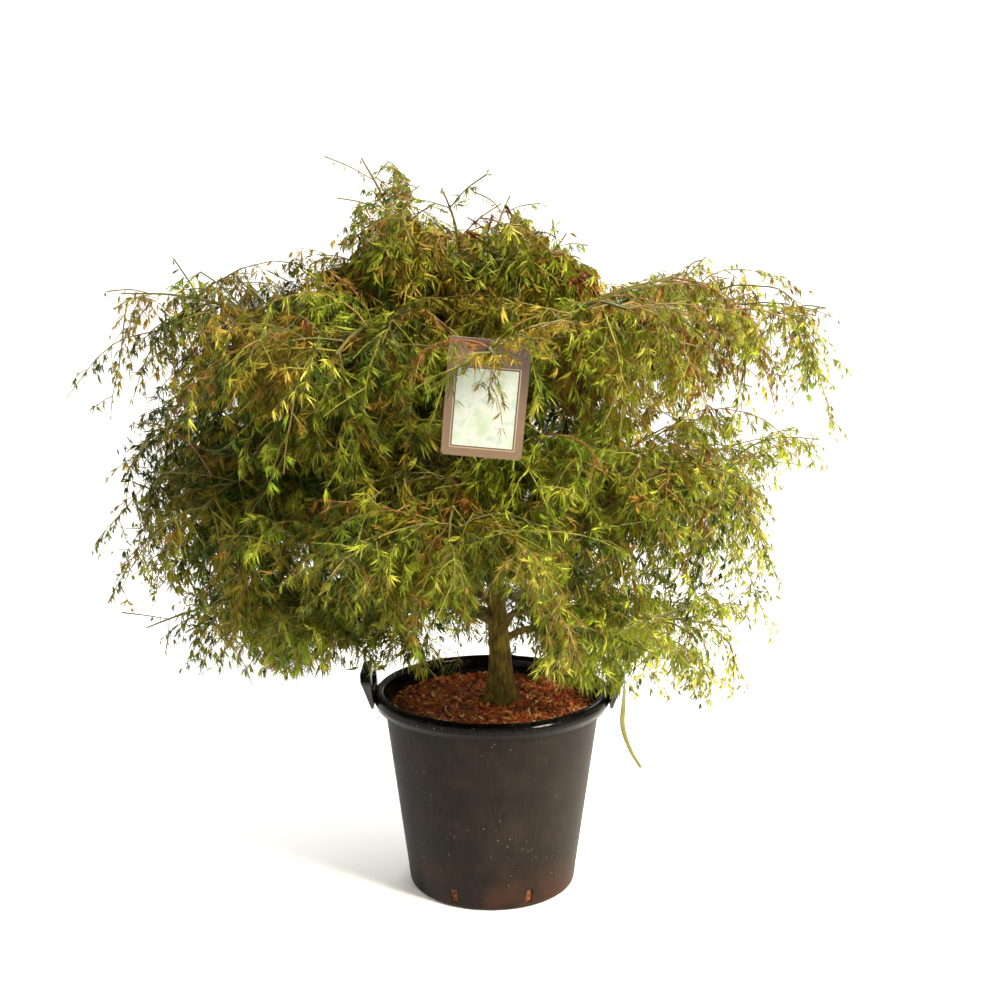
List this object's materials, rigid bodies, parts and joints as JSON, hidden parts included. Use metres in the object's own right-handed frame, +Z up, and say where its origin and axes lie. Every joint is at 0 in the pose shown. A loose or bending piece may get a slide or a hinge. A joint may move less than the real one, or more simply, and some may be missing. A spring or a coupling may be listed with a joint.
{
  "type": "potted japanese maple",
  "caption": "Weeping cut-leaf maple shrub with arching boughs and hanging foliage, growing in a round black nursery tub with two lifting handles.",
  "frame": {"origin": "centre of the tub's flat underside", "axes": "+Z up; -Y to the front, where the hanging label is; +X to the right, where the strap is"},
  "size_m": [1.6034, 1.6222, 1.5254],
  "materials": {
    "pot": "satin, scuffed",
    "handle": "gloss",
    "potting_bark": "rough",
    "bark": "rough",
    "foliage_green": "matte",
    "foliage_bronze": "matte",
    "strap": "satin",
    "card": "satin"
  },
  "bodies": {
    "root": {"pot": "pot", "soil": "potting_bark", "handle_left": "handle", "handle_right": "handle", "strap": "strap", "trunk": "bark", "bough_canopy_1": "bark", "bough_canopy_2": "bark", "bough_canopy_3": "bark", "bough_canopy_4": "bark", "bough_canopy_5": "bark", "bough_canopy_6": "bark", "bough_canopy_7": "bark", "bough_crest_1": "bark", "bough_crest_2": "bark", "bough_crest_3": "bark", "bough_crest_4": "bark", "bough_front": "bark", "bough_middle_1": "bark", "bough_middle_2": "bark", "bough_middle_3": "bark", "bough_middle_4": "bark", "bough_middle_5": "bark", "bough_middle_6": "bark", "bough_middle_7": "bark", "bough_skirt_1": "bark", "bough_skirt_2": "bark", "bough_skirt_3": "bark", "bough_skirt_4": "bark", "bough_skirt_5": "bark", "bough_skirt_6": "bark", "foliage_canopy_1": "foliage_green", "foliage_canopy_2": "foliage_green", "foliage_canopy_3": "foliage_green", "foliage_canopy_4": "foliage_green", "foliage_canopy_5": "foliage_green", "foliage_canopy_6": "foliage_green", "foliage_canopy_7": "foliage_green", "foliage_crest_1": "foliage_bronze", "foliage_crest_2": "foliage_bronze", "foliage_crest_3": "foliage_bronze", "foliage_crest_4": "foliage_bronze", "foliage_front": "foliage_green", "foliage_middle_1": "foliage_green", "foliage_middle_2": "foliage_green", "foliage_middle_3": "foliage_green", "foliage_middle_4": "foliage_green", "foliage_middle_5": "foliage_green", "foliage_middle_6": "foliage_green", "foliage_middle_7": "foliage_green", "foliage_skirt_1": "foliage_green", "foliage_skirt_2": "foliage_green", "foliage_skirt_3": "foliage_green", "foliage_skirt_4": "foliage_green", "foliage_skirt_5": "foliage_green", "foliage_skirt_6": "foliage_green", "label": "card"}
  },
  "joints": []
}
